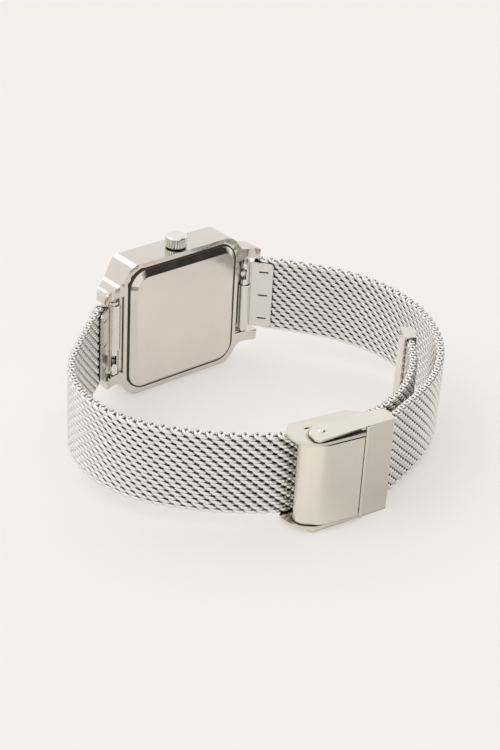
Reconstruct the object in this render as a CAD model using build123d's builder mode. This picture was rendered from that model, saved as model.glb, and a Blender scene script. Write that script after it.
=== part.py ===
from build123d import *
import os
from math import atan2, cos, degrees, radians, sin, sqrt

os.makedirs("parts", exist_ok=True)

# A square wristwatch on a woven mesh band, seen standing on its nine o'clock side.
# X runs from the left lugs to the right lugs, Y from the wrist towards the dial, and Z up
# towards the crown. The origin is the middle of the case back's outer face. Millimetres.

# Case outline, seen from the back
case_half = 12.5            # half of the square, both ways
band_width = 14.0
corner_run = 1.6            # from where a flat side ends to the corner of the square
root_run = 0.8              # from the side of the square to where the slanted corner meets the lug
lug_length = 4.6
lug_gap = 0.4               # between the band and a lug
lug_width = 1.85
corner_round = 2.8          # bend from a flat side to the slanted corner
corner_bend = 1.9           # bend from the slanted corner to the lug
lug_tip_round = 1.2
corner_start = case_half - corner_run
lug_root = case_half + root_run
lug_reach = case_half + lug_length
lug_inner = band_width / 2 + lug_gap
lug_outer = lug_inner + lug_width

# Case heights over the case back's outer face
rim_height = 1.1            # the case's rim, which the case back stands proud of
case_height = 6.8
shoulder_height = 5.9       # front of the case at the lug's root
lug_tip_height = 2.7        # front of the lug at its tip
lug_heel = 0.5              # where the back of the lug turns up to the tip
front_bevel = 0.4

# Crystal and dial
flange_height = 5.4         # underside of the flange that the dial stands against
seat_height = 6.2           # floor of the crystal's seat
bezel_width = 3.5
seat_width = 1.0
crystal_gap = 0.3           # room for the gasket round the crystal
crystal_proud = 0.6
case_wall = 2.6
dial_gap = 0.2
dial_thickness = 0.4
marker_ring_share = 0.8     # of the window: the middle of the markers
marker_length_share = 0.2
marker_width = 0.35
window_half = case_half - bezel_width
seat_half = window_half + seat_width
crystal_half = seat_half - crystal_gap
cavity_half = case_half - case_wall
dial_half = cavity_half - dial_gap
marker_thickness = 0.15

# Case back
back_margin_x = 1.1
back_margin_z = 1.2
back_corner = 3.2
back_half_x = case_half - back_margin_x
back_half_z = case_half - back_margin_z
back_seat = 0.35            # how deep it sits in the case's rim
back_gap = 0.2              # between it and the rim
back_bevel = 1.0            # width of the slanted part of its edge
bevel_height = 0.84
window_corner = 1.5
cavity_clip = 1.0           # corners cut off what lies hidden in the case
spigot_depth = 0.5
spigot_wall = 0.9
gasket_height = 0.4
gasket_thickness = 0.4
fit_gap = 0.05              # clearance of parts that are fitted into one another
cut_over = 1.0              # how far a cutting shape overruns

# Movement. What lies across it is given as shares of its radius.
movement_margin = 1.8
movement_radius = cavity_half - movement_margin
movement_back = 2.0
holder_gap = 0.1
plate_back = 4.25
plate_floor = 4.6
plate_rim = 0.8
bridge_thickness = 0.4
bridge_pad = 1.0
arbor_radius = 0.25
pivot_radius = 0.15
small_sides = 12            # of what is no thicker than a pinion
centre_wheel_share = 0.321
third_pinion_share = 0.0432
third_wheel_share = 0.296
fourth_pinion_share = 0.037
fourth_wheel_share = 0.148
rotor_pinion_share = 0.0988
rotor_share = 0.0864
cannon_share = 0.0765
minute_wheel_share = 0.2296
minute_pinion_share = 0.0617
battery_share = 0.358
battery_place_shares = (-0.531, -0.247)
coil_place_shares = (0.753, 0.148)
coil_length_share = 0.568
board_size_shares = (0.593, 0.321)
board_place_shares = (-0.457, 0.543)
quartz_length_share = 0.37
wheel_thickness = 0.15
pinion_height = 0.35
mesh_gap = 0.04             # gap between the pitch discs of two wheels that drive one another
stage_step = 0.65           # height between the two levels of train wheels
rotor_height = 0.5
third_bearing = -60.0       # direction from the centre wheel to the third wheel
fourth_bearing = 0.0
rotor_bearing = -69.0
minute_wheel_bearing = 150.0
hour_tube_wall = 0.22
hand_thickness = 0.15
hour_hand_share = 0.578     # of the window
minute_hand_share = 0.822
hand_width = 0.7
hour_hand_level = 5.6
minute_hand_level = 5.85
battery_thickness = 1.25
clip_width = 1.4
clip_thickness = 0.12
coil_level = 3.0
coil_radius = 0.75
core_thickness = 0.3
core_width = 0.9
core_overhang = 0.5
stator_pad = 1.3
board_thickness = 0.25
quartz_radius = 0.5
centre_wheel_radius = movement_radius * centre_wheel_share
third_pinion_radius = movement_radius * third_pinion_share
third_wheel_radius = movement_radius * third_wheel_share
fourth_pinion_radius = movement_radius * fourth_pinion_share
fourth_wheel_radius = movement_radius * fourth_wheel_share
rotor_pinion_radius = movement_radius * rotor_pinion_share
rotor_radius = movement_radius * rotor_share
cannon_radius = movement_radius * cannon_share
minute_wheel_radius = movement_radius * minute_wheel_share
minute_pinion_radius = movement_radius * minute_pinion_share
hour_wheel_radius = cannon_radius + minute_wheel_radius - minute_pinion_radius
battery_radius = movement_radius * battery_share
battery_x, battery_z = [movement_radius * share for share in battery_place_shares]
coil_x, coil_z = [movement_radius * share for share in coil_place_shares]
coil_length = movement_radius * coil_length_share
board_width, board_depth = [movement_radius * share for share in board_size_shares]
board_x, board_z = [movement_radius * share for share in board_place_shares]
quartz_length = movement_radius * quartz_length_share

# Crown and stem
crown_height = 3.4          # stem axis, over the case back's outer face
crown_radius = 1.9
crown_length = 2.1
crown_gap = 0.15
crown_edge = 0.25
crown_flutes = 24
flute_side = 0.24           # a flute is a notch with two flat sides of this width
crown_recess_radius = 1.25
crown_recess_depth = 1.1
tube_radius = 0.85
tube_wall = 0.3
tube_proud = 0.8
stem_radius = 0.45
stem_start = 4.6
stem_square = 0.6
stem_square_length = 2.0
clutch_radius = 0.7
clutch_length = 1.2
clutch_start = 5.0
crown_gasket_length = 0.5

# Spring bars
bar_run = 1.9               # from the side of the square to the bar's axis
bar_height = 1.5            # bar axis, over the case back's outer face
bar_radius = 0.85
bar_end_gap = 0.5           # from the end of the bar's tube to the lug
bar_bore = 0.5
tip_radius = 0.45
tip_depth = 0.9             # how far a tip goes into its lug
tip_hole = 0.5
knob_radius = 0.4
knob_proud = 0.7
knob_inset = 2.0            # from the end of the bar's tube to the knob
knob_travel = 1.1
knob_slot_gap = 0.1
knob_bearings = {"left": 243.0, "right": 217.0}
bar_x = case_half + bar_run
bar_half = lug_inner - bar_end_gap
knob_place = bar_half - knob_inset

# Mesh band
band_thickness = 1.5
coil_pitch = 0.885          # from one row of woven coils to the next
coil_groove = 0.22          # how deep the weave dips between two rows
band_start = 1.6            # start of the mesh, from the bar axis
band_offset = 0.8           # from the bar axis to the inner face of the mesh
plate_gap = 0.1             # between the mesh and the sheet metal around it

# Long side of the band: it leaves the left lugs, goes round the wrist and through the clasp.
# Radii are those of the mesh's outer face, and a turn is in degrees.
long_heading = 217.0
long_shoulder_radius = 147.0
long_shoulder_turn = 7.0
long_side_radius = 20.0
long_side_turn = 81.0
long_lower_radius = 44.0
long_lower_turn = 23.3
long_entry_radius = 7.5
long_entry_turn = 20.7
clasp_run = 10.8            # straight length of mesh in the clasp
clasp_lead = 5.7            # from the start of that length to the clasp's own origin
tail_bend_radius = 19.2
tail_bend_turn = 33.0
tail_radius = 33.3
tail_turn = 39.8

# Short side of the band: from the right lugs to the clasp's hook
short_heading = -47.0
short_shoulder_radius = 70.0
short_shoulder_turn = -11.0
short_side_radius = 25.6
short_side_turn = -52.5
short_lower_radius = 32.2
short_lower_turn = -47.0
short_end_slope = 33.0      # how steeply the mesh rises to the hook, against the clasp

# Sheet metal ends of the band
plate_margin = 0.7          # from the edge of the mesh to that of the sheet metal
end_plate_length = 4.1
end_plate_round = 0.6
end_plate_thickness = 0.35
end_tube_radius = 1.15
end_tube_start = 1.0        # where the plate leaves the rolled tube
tube_stop_gap = 1.2         # from the end of the rolled tube to the knob when it is pushed
punch_spacing_share = 0.365 # of the plate's height
punch_length = 1.7
punch_width = 0.3
tail_cap_length = 3.8
tail_cap_wall = 0.15
end_plate_height = band_width - 2 * plate_margin
end_tube_stop = knob_place - knob_radius - knob_travel - tube_stop_gap
punch_spacing = end_plate_height * punch_spacing_share

# Clasp, drawn on the straight run of mesh: along it, and outwards from its outer face
ear_thickness = 0.5
ear_gap = 0.1
arm_thickness = 0.5
arm_gap = 0.06
slider_floor = 0.4
slider_front = 6.87
slider_back = 7.1
slider_depth = 5.0
slider_nose = 4.3           # radius of the round front of its ears
floor_front = 5.2
floor_back = 4.6
ear_round = 0.7
ear_slot_length = 0.9
ear_slot_width = 0.35
ear_slot_along = -3.35
ear_slot_out = 0.25
rivet_along = -2.1
rivet_out = 2.25
rivet_radius = 0.5
rivet_head = 0.75
rivet_head_thickness = 0.2
arm_start = -4.3
arm_end = 10.0
arm_depth = 4.85            # height of the arm's face at its start, from where it slopes down
arm_end_depth = 3.85
arm_foot = 0.25             # lowest part of the arm, by the rivet
arm_edge = 0.6              # lower edge of its other end
arm_waist = 1.05            # lower edge in between
arm_waist_start = -0.1
arm_waist_end = 2.5
arm_waist_run = 3.2
arm_rounds = (1.2, 1.0, 0.3, 0.9, 2.0, 1.5, 1.5, 0.4)
cross_plate_start = 4.85
cross_plate_gap = 0.1
hook_pin_along = 7.25
hook_pin_out = 2.15
hook_pin_radius = 0.6
hook_gap = 0.25
hook_lip_drop = 0.2         # how far the hook's lip ends short of the pin's middle
hook_thickness = 0.7
hook_width = band_width - 2 * plate_margin
hook_seat_length = 3.4
hook_mesh_along = 10.2      # end of the short side's mesh, outer face
hook_mesh_out = 2.75
flap_pivot_along = -3.4
flap_pivot_out = 0.95
flap_hub_radius = 0.75
flap_pin_radius = 0.4
flap_thickness = 0.5
flap_end = 4.05
flap_crest = -2.5
flap_heel_along = -5.4
flap_heel_out = 3.2
flap_bends = (0.7, 1.7, 3.6)
flap_gap = 0.12
pin_cover = 0.15            # thickness of the ear over the end of the flap's pin
running_gap = 0.05


def level(height):
    """The plane across the case at a height over the case back; extruding by less than 0 rises."""
    return Plane.XZ.offset(-height)


def clipped_square(half, mode=Mode.ADD):
    """Draws a square with its corners cut off in the sketch being built."""
    cut = half - cavity_clip
    corners = [(half, cut), (cut, half), (-cut, half), (-half, cut)]
    Polygon(*corners, *[(-x, -y) for x, y in corners], mode=mode)


def small_round(radius):
    """Draws the outline of a pivot, arbor or pinion, which is too thin to need more sides."""
    RegularPolygon(radius, small_sides)


def along(heading, distance=1):
    """A step in the direction of a heading in degrees."""
    return Vector(cos(radians(heading)), sin(radians(heading))) * distance


def polar(centre, distance, bearing):
    """The place at a distance and bearing from another."""
    return centre[0] + distance * cos(radians(bearing)), centre[1] + distance * sin(radians(bearing))


def arc_end(start, heading, radius, turn):
    """Where an arc ends, and its heading there."""
    side = 90 if turn > 0 else -90
    centre = start + along(heading + side, radius)
    return centre + along(heading + turn - side, radius), heading + turn


def runs(start, heading, bends):
    """The ends of a chain of tangent arcs, each a radius and a turn, and the last heading."""
    points = [start]
    for radius, turn in bends:
        start, heading = arc_end(start, heading, radius, turn)
        points.append(start)
    return points, heading


def draw_arcs(start, heading, bends):
    """Draws a chain of tangent arcs in the line being built."""
    for radius, turn in bends:
        JernArc(start=start, tangent=along(heading), radius=radius, arc_size=turn)
        start, heading = arc_end(start, heading, radius, turn)


def biarc_middle(start, start_heading, end, end_heading):
    """Where two tangent arcs meet that join two places, each with its own heading."""
    span = end - start
    first, last = along(start_heading), along(end_heading)
    both = first + last
    spread = 2 * (1 - first.dot(last))
    reach = (sqrt(span.dot(both) ** 2 + spread * span.dot(span)) - span.dot(both)) / spread
    return (start + first * reach + end - last * reach) * 0.5


def woven_outline(path):
    """Draws a strip of mesh along a path, with a crest and a dip for each row of coils."""
    rows = max(2, round(path.length / coil_pitch))
    crest = band_thickness / 2
    outer, inner = [], []
    for step in range(2 * rows + 1):
        place = path.position_at(step / (2 * rows))
        tangent = path.tangent_at(step / (2 * rows))
        normal = Vector(-tangent.Y, tangent.X)
        reach = crest if step % 2 == 0 else crest - coil_groove
        outer.append(place - normal * reach)
        inner.append(place + normal * reach)
    Polyline(*outer, *reversed(inner), close=True)


# Where the bars and the band lie
bars = {"left": Vector(-bar_x, bar_height), "right": Vector(bar_x, bar_height)}
mid_offset = band_offset + band_thickness / 2

long_inward = along(long_heading + 90)
long_start = bars["left"] + along(long_heading, band_start) - long_inward * mid_offset
long_bends = [
    (long_shoulder_radius, long_shoulder_turn),
    (long_side_radius - band_thickness / 2, long_side_turn),
    (long_lower_radius - band_thickness / 2, long_lower_turn),
    (long_entry_radius - band_thickness / 2, long_entry_turn),
]
tail_bends = [
    (tail_bend_radius - band_thickness / 2, tail_bend_turn),
    (tail_radius - band_thickness / 2, tail_turn),
]
long_points, clasp_heading = runs(long_start, long_heading, long_bends)
clasp_entry = long_points[-1]
clasp_exit = clasp_entry + along(clasp_heading, clasp_run)
tail_points, tail_heading = runs(clasp_exit, clasp_heading, tail_bends)

# The clasp's own plane: X along the mesh and Y towards the wrist, from its outer face
clasp_outward = along(clasp_heading - 90)
clasp_middle = clasp_entry + along(clasp_heading, clasp_lead) + clasp_outward * band_thickness / 2
clasp = Plane(origin=clasp_middle, x_dir=along(clasp_heading), z_dir=(0, 0, 1))


def at_clasp(distance, out):
    """A place in the clasp, as a distance along the mesh and one outwards from it."""
    return clasp_middle + along(clasp_heading, distance) + clasp_outward * out


short_inward = along(short_heading - 90)
short_start = bars["right"] + along(short_heading, band_start) - short_inward * mid_offset
short_bends = [
    (short_shoulder_radius - band_thickness / 2, short_shoulder_turn),
    (short_side_radius - band_thickness / 2, short_side_turn),
    (short_lower_radius - band_thickness / 2, short_lower_turn),
]
short_points, short_low_heading = runs(short_start, short_heading, short_bends)
short_end_heading = clasp_heading + 180 + short_end_slope
short_end = at_clasp(hook_mesh_along, hook_mesh_out) + along(short_end_heading - 90, band_thickness / 2)
short_low = short_points[-1]
short_join = biarc_middle(short_low, short_low_heading, short_end, short_end_heading)

ear_inner = band_width / 2 + ear_gap
ear_outer = ear_inner + ear_thickness
arm_inner = ear_outer + arm_gap
arm_outer = arm_inner + arm_thickness

# Case
with BuildPart() as case_middle:
    with BuildSketch(Plane.XZ):
        with BuildLine():
            FilletPolyline(
                (0, case_half),
                (corner_start, case_half),
                (lug_root, lug_outer),
                (lug_reach, lug_outer),
                (lug_reach, lug_inner),
                radius=(corner_round, corner_bend, lug_tip_round),
            )
            Polyline((lug_reach, lug_inner), (case_half, lug_inner), (case_half, 0), (0, 0), (0, case_half))
        make_face()
        mirror(about=Plane.XZ)
        mirror(about=Plane.YZ)
    extrude(amount=-case_height)
    with BuildSketch(Plane.XY):
        with BuildLine():
            Line((0, rim_height), (lug_root, rim_height))
            TangentArc((lug_root, rim_height), (lug_reach - lug_heel, 0), tangent=(1, 0))
            Polyline(
                (lug_reach - lug_heel, 0),
                (lug_reach, lug_heel),
                (lug_reach, lug_tip_height),
                (lug_root, shoulder_height),
                (corner_start, case_height),
                (0, case_height),
                (0, rim_height),
            )
        make_face()
        mirror(about=Plane.YZ)
    extrude(amount=case_half + cut_over, both=True, mode=Mode.INTERSECT)
    with BuildSketch(level(rim_height)):
        recess_x, recess_z = back_half_x + back_gap, back_half_z + back_gap
        RectangleRounded(2 * recess_x, 2 * recess_z, back_corner + back_gap)
    extrude(amount=-back_seat, mode=Mode.SUBTRACT)
    with BuildSketch(level(rim_height)):
        clipped_square(cavity_half)
    extrude(amount=rim_height - flange_height, mode=Mode.SUBTRACT)
    with BuildSketch(level(flange_height)):
        RectangleRounded(2 * window_half, 2 * window_half, window_corner)
    extrude(amount=flange_height - case_height - cut_over, mode=Mode.SUBTRACT)
    with BuildSketch(level(seat_height)):
        RectangleRounded(2 * seat_half, 2 * seat_half, window_corner)
    extrude(amount=seat_height - case_height - cut_over, mode=Mode.SUBTRACT)
    with Locations((0, crown_height, case_half)):
        Cylinder(tube_radius, 2 * (case_half - cavity_half + cut_over), mode=Mode.SUBTRACT)
    with Locations((bar_x, bar_height, 0), (-bar_x, bar_height, 0)):
        Cylinder(tip_hole, 2 * (lug_inner + tip_depth + knob_slot_gap), mode=Mode.SUBTRACT)
case_middle.part.label = "case_middle"
export_step(case_middle.part, "parts/case_middle.step")

with BuildPart() as case_back:
    seat_level = rim_height + back_seat
    with BuildSketch(level(seat_level)):
        RectangleRounded(2 * back_half_x, 2 * back_half_z, back_corner)
    extrude(amount=seat_level - bevel_height)
    with BuildSketch(level(bevel_height)):
        RectangleRounded(2 * back_half_x, 2 * back_half_z, back_corner)
    extrude(amount=bevel_height, taper=degrees(atan2(back_bevel, bevel_height)))
    spigot_half = cavity_half - fit_gap
    with BuildSketch(level(seat_level)):
        clipped_square(spigot_half)
        hollow_half = spigot_half - spigot_wall
        clipped_square(hollow_half, mode=Mode.SUBTRACT)
    extrude(amount=-spigot_depth)
    with BuildSketch(level(seat_level)):
        Rectangle(2 * case_half, 2 * case_half)
        groove_half = spigot_half - gasket_thickness
        clipped_square(groove_half, mode=Mode.SUBTRACT)
    extrude(amount=-gasket_height, mode=Mode.SUBTRACT)
case_back.part.label = "case_back"
export_step(case_back.part, "parts/case_back.step")

with BuildPart() as case_back_gasket:
    with BuildSketch(level(seat_level)):
        clipped_square(spigot_half)
        clipped_square(groove_half, mode=Mode.SUBTRACT)
    extrude(amount=-gasket_height)
case_back_gasket.part.label = "case_back_gasket"
export_step(case_back_gasket.part, "parts/case_back_gasket.step")

with BuildPart() as crystal:
    with BuildSketch(level(seat_height)):
        RectangleRounded(2 * crystal_half, 2 * crystal_half, window_corner)
    extrude(amount=seat_height - case_height - crystal_proud)
    chamfer(crystal.edges().group_by(Axis.Y)[-1], front_bevel)
crystal.part.label = "crystal"
export_step(crystal.part, "parts/crystal.step")

with BuildPart() as crystal_gasket:
    with BuildSketch(level(seat_height)):
        RectangleRounded(2 * seat_half, 2 * seat_half, window_corner)
        RectangleRounded(2 * crystal_half, 2 * crystal_half, window_corner, mode=Mode.SUBTRACT)
    extrude(amount=seat_height - case_height)
crystal_gasket.part.label = "crystal_gasket"
export_step(crystal_gasket.part, "parts/crystal_gasket.step")

# Dial and its markers
dial_back = flange_height - dial_thickness
with BuildPart() as dial:
    with BuildSketch(level(dial_back)):
        clipped_square(dial_half)
        Circle(cannon_radius + hour_tube_wall + 3 * fit_gap, mode=Mode.SUBTRACT)
    extrude(amount=-dial_thickness)
dial.part.label = "dial"
export_step(dial.part, "parts/dial.step")

with BuildPart() as hour_markers:
    with BuildSketch(level(flange_height)):
        with PolarLocations(window_half * marker_ring_share, 12):
            Rectangle(window_half * marker_length_share, marker_width)
    extrude(amount=-marker_thickness)
hour_markers.part.label = "hour_markers"
export_step(hour_markers.part, "parts/hour_markers.step")

# Movement: its frame
third_place = polar((0, 0), centre_wheel_radius + third_pinion_radius + mesh_gap, third_bearing)
fourth_place = polar(third_place, third_wheel_radius + fourth_pinion_radius + mesh_gap, fourth_bearing)
rotor_place = polar(fourth_place, fourth_wheel_radius + rotor_pinion_radius + mesh_gap, rotor_bearing)
minute_place = polar((0, 0), cannon_radius + minute_wheel_radius + mesh_gap, minute_wheel_bearing)
train_places = [(0, 0), third_place, fourth_place, rotor_place]

with BuildPart() as movement_holder:
    holder_half = cavity_half - holder_gap
    with BuildSketch(level(movement_back)):
        clipped_square(holder_half)
        Circle(movement_radius + fit_gap, mode=Mode.SUBTRACT)
    extrude(amount=movement_back - dial_back)
    with Locations((0, crown_height, holder_half)):
        Box(2 * clutch_radius, 2 * clutch_radius, 2 * holder_half, mode=Mode.SUBTRACT)
movement_holder.part.label = "movement_holder"
export_step(movement_holder.part, "parts/movement_holder.step")

with BuildPart() as main_plate:
    with BuildSketch(level(plate_back)):
        Circle(movement_radius)
    extrude(amount=plate_back - dial_back)
    with BuildSketch(level(plate_floor)):
        Circle(movement_radius - plate_rim)
    extrude(amount=plate_floor - dial_back, mode=Mode.SUBTRACT)
    with BuildSketch(level(plate_back)):
        Circle(cannon_radius + fit_gap)
        with Locations(*train_places[1:]):
            small_round(pivot_radius + fit_gap)
    extrude(amount=plate_back - plate_floor, mode=Mode.SUBTRACT)
    with BuildSketch(level(plate_floor)):
        with Locations(minute_place):
            small_round(pivot_radius)
    extrude(amount=plate_floor - dial_back + fit_gap)
main_plate.part.label = "main_plate"
export_step(main_plate.part, "parts/main_plate.step")

bridge_top = movement_back + bridge_thickness
with BuildPart() as train_bridge:
    with BuildSketch(level(movement_back)):
        with Locations(*train_places):
            Circle(bridge_pad)
        make_hull()
    extrude(amount=-bridge_thickness)
    with BuildSketch(level(movement_back)):
        with Locations(*train_places):
            small_round(pivot_radius + fit_gap)
    extrude(amount=-bridge_thickness, mode=Mode.SUBTRACT)
train_bridge.part.label = "train_bridge"
export_step(train_bridge.part, "parts/train_bridge.step")

with BuildPart() as battery:
    with BuildSketch(level(movement_back + clip_thickness)):
        with Locations((battery_x, battery_z)):
            Circle(battery_radius)
    extrude(amount=-battery_thickness)
    chamfer(battery.edges().group_by(Axis.Y)[0], clip_thickness)
battery.part.label = "battery"
export_step(battery.part, "parts/battery.step")

with BuildPart() as battery_clip:
    with BuildSketch(level(movement_back)):
        with Locations((battery_x, battery_z)):
            Rectangle(clip_width, 2 * battery_radius)
    extrude(amount=-clip_thickness)
battery_clip.part.label = "battery_clip"
export_step(battery_clip.part, "parts/battery_clip.step")

with BuildPart() as coil:
    with Locations((coil_x, coil_level, coil_z)):
        Cylinder(coil_radius, coil_length)
        Box(core_width, core_thickness, coil_length, mode=Mode.SUBTRACT)
coil.part.label = "coil"
export_step(coil.part, "parts/coil.step")

with BuildPart() as coil_core:
    with Locations((coil_x, coil_level, coil_z)):
        Box(core_width, core_thickness, coil_length + 2 * core_overhang)
coil_core.part.label = "coil_core"
export_step(coil_core.part, "parts/coil_core.step")

stator_level = coil_level - core_thickness / 2
core_foot = coil_z - coil_length / 2 - core_overhang
with BuildPart() as stator:
    with BuildSketch(level(stator_level)):
        with Locations(rotor_place):
            Circle(stator_pad)
        with Locations((coil_x, core_foot - core_width / 2 - fit_gap)):
            Circle(core_width / 2)
        make_hull()
        with Locations(rotor_place):
            Circle(rotor_radius + 2 * fit_gap, mode=Mode.SUBTRACT)
    extrude(amount=-core_thickness)
stator.part.label = "stator"
export_step(stator.part, "parts/stator.step")

with BuildPart() as circuit_board:
    with BuildSketch(level(plate_back - board_thickness)):
        with Locations((board_x, board_z)):
            RectangleRounded(board_width, board_depth, board_thickness)
    extrude(amount=-board_thickness)
circuit_board.part.label = "circuit_board"
export_step(circuit_board.part, "parts/circuit_board.step")

with BuildPart() as quartz_can:
    with Locations((board_x, plate_back - board_thickness - quartz_radius, board_z)):
        Cylinder(quartz_radius, quartz_length, rotation=(0, 90, 0))
quartz_can.part.label = "quartz_can"
export_step(quartz_can.part, "parts/quartz_can.step")

# Movement: wheels, drawn as discs of their pitch size, for their teeth are too fine to show
low_stage = bridge_top + stage_step / 2
high_stage = low_stage + stage_step


def disc(place, radius, height, thickness):
    """A wheel or pinion at a place on an arbor, as a disc."""
    with BuildSketch(level(height)) as outline:
        with Locations(place):
            if radius > third_pinion_radius:
                Circle(radius)
            else:
                small_round(radius)
    extrude(outline.sketch, amount=-thickness)


def arbor(place, radius):
    """An arbor from the bridge to the main plate, with its two pivots."""
    disc(place, radius, bridge_top + running_gap, plate_back - bridge_top - 2 * running_gap)
    disc(place, pivot_radius, movement_back, plate_floor - movement_back - running_gap)


with BuildPart() as centre_wheel:
    disc((0, 0), centre_wheel_radius, high_stage, wheel_thickness)
    disc((0, 0), pivot_radius, movement_back, high_stage - movement_back)
    disc((0, 0), arbor_radius, bridge_top + running_gap, high_stage - bridge_top - running_gap)
    disc((0, 0), cannon_radius, high_stage, minute_hand_level + hand_thickness - high_stage)
centre_wheel.part.label = "centre_wheel"
export_step(centre_wheel.part, "parts/centre_wheel.step")

with BuildPart() as third_wheel:
    arbor(third_place, third_pinion_radius)
    disc(third_place, third_wheel_radius, low_stage, wheel_thickness)
third_wheel.part.label = "third_wheel"
export_step(third_wheel.part, "parts/third_wheel.step")

with BuildPart() as fourth_wheel:
    arbor(fourth_place, fourth_pinion_radius)
    disc(fourth_place, fourth_wheel_radius, high_stage, wheel_thickness)
fourth_wheel.part.label = "fourth_wheel"
export_step(fourth_wheel.part, "parts/fourth_wheel.step")

with BuildPart() as rotor:
    arbor(rotor_place, arbor_radius)
    disc(rotor_place, rotor_pinion_radius, high_stage - wheel_thickness, pinion_height)
    disc(rotor_place, rotor_radius, coil_level - rotor_height / 2, rotor_height)
rotor.part.label = "rotor"
export_step(rotor.part, "parts/rotor.step")

motion_level = plate_floor + running_gap
with BuildPart() as minute_wheel:
    disc(minute_place, minute_wheel_radius, motion_level, wheel_thickness)
    disc(minute_place, minute_pinion_radius, motion_level, dial_back - motion_level - running_gap)
    with BuildSketch(level(motion_level)):
        with Locations(minute_place):
            small_round(pivot_radius + running_gap)
    extrude(amount=motion_level - dial_back, mode=Mode.SUBTRACT)
minute_wheel.part.label = "minute_wheel"
export_step(minute_wheel.part, "parts/minute_wheel.step")

hour_wheel_level = motion_level + wheel_thickness + running_gap
with BuildPart() as hour_wheel:
    disc((0, 0), hour_wheel_radius, hour_wheel_level, dial_back - hour_wheel_level - running_gap)
    hour_tube_height = hour_hand_level + hand_thickness - hour_wheel_level
    disc((0, 0), cannon_radius + running_gap + hour_tube_wall, hour_wheel_level, hour_tube_height)
    with BuildSketch(level(hour_wheel_level)):
        Circle(cannon_radius + running_gap)
    extrude(amount=-hour_tube_height, mode=Mode.SUBTRACT)
hour_wheel.part.label = "hour_wheel"
export_step(hour_wheel.part, "parts/hour_wheel.step")

with BuildPart() as hour_hand:
    with BuildSketch(level(hour_hand_level)):
        hub_radius = cannon_radius + running_gap + hour_tube_wall
        Circle(2 * hub_radius)
        with Locations(Location((hub_radius, hub_radius), 45)):
            Rectangle(window_half * hour_hand_share, hand_width, align=(Align.MIN, Align.CENTER))
        Circle(hub_radius, mode=Mode.SUBTRACT)
    extrude(amount=-hand_thickness)
hour_hand.part.label = "hour_hand"
export_step(hour_hand.part, "parts/hour_hand.step")

with BuildPart() as minute_hand:
    with BuildSketch(level(minute_hand_level)):
        Circle(2 * cannon_radius)
        with Locations(Location((-cannon_radius, cannon_radius), 135)):
            Rectangle(window_half * minute_hand_share, hand_width, align=(Align.MIN, Align.CENTER))
        Circle(cannon_radius, mode=Mode.SUBTRACT)
    extrude(amount=-hand_thickness)
minute_hand.part.label = "minute_hand"
export_step(minute_hand.part, "parts/minute_hand.step")

# Crown, stem and clutch, all about the stem's axis
stem_axis = Plane(origin=(0, crown_height, 0), x_dir=(1, 0, 0), z_dir=(0, 0, 1))
crown_start = case_half + crown_gap

with BuildPart() as crown_tube:
    with BuildSketch(stem_axis.offset(cavity_half + fit_gap)):
        Circle(tube_radius)
        Circle(tube_radius - tube_wall, mode=Mode.SUBTRACT)
    extrude(amount=case_half + tube_proud - cavity_half - fit_gap)
crown_tube.part.label = "crown_tube"
export_step(crown_tube.part, "parts/crown_tube.step")

with BuildPart() as crown:
    with BuildSketch(stem_axis.offset(crown_start)):
        Circle(crown_radius)
    extrude(amount=crown_length)
    chamfer(crown.edges().group_by(Axis.Z)[-1], crown_edge)
    chamfer(crown.edges().group_by(Axis.Z)[0], crown_edge)
    with BuildSketch(stem_axis.offset(crown_start)):
        with PolarLocations(crown_radius, crown_flutes):
            Rectangle(flute_side, flute_side, rotation=45)
    extrude(amount=crown_length - crown_edge, mode=Mode.SUBTRACT)
    with BuildSketch(stem_axis.offset(crown_start)):
        Circle(crown_recess_radius)
    extrude(amount=crown_recess_depth, mode=Mode.SUBTRACT)
crown.part.label = "crown"
export_step(crown.part, "parts/crown.step")

with BuildPart() as crown_gasket:
    with BuildSketch(stem_axis.offset(crown_start + fit_gap)):
        Circle(crown_recess_radius)
        Circle(tube_radius + running_gap, mode=Mode.SUBTRACT)
    extrude(amount=crown_gasket_length)
crown_gasket.part.label = "crown_gasket"
export_step(crown_gasket.part, "parts/crown_gasket.step")

with BuildPart() as stem:
    with BuildSketch(stem_axis.offset(stem_start)):
        Rectangle(stem_square, stem_square)
    extrude(amount=stem_square_length)
    with BuildSketch(stem_axis.offset(stem_start + stem_square_length)):
        Circle(stem_radius)
    extrude(amount=crown_start + crown_recess_depth - stem_start - stem_square_length)
stem.part.label = "stem"
export_step(stem.part, "parts/stem.step")

with BuildPart() as clutch_wheel:
    with BuildSketch(stem_axis.offset(clutch_start)):
        Circle(clutch_radius)
        Rectangle(stem_square + 2 * running_gap, stem_square + 2 * running_gap, mode=Mode.SUBTRACT)
    extrude(amount=clutch_length)
clutch_wheel.part.label = "clutch_wheel"
export_step(clutch_wheel.part, "parts/clutch_wheel.step")

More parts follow.
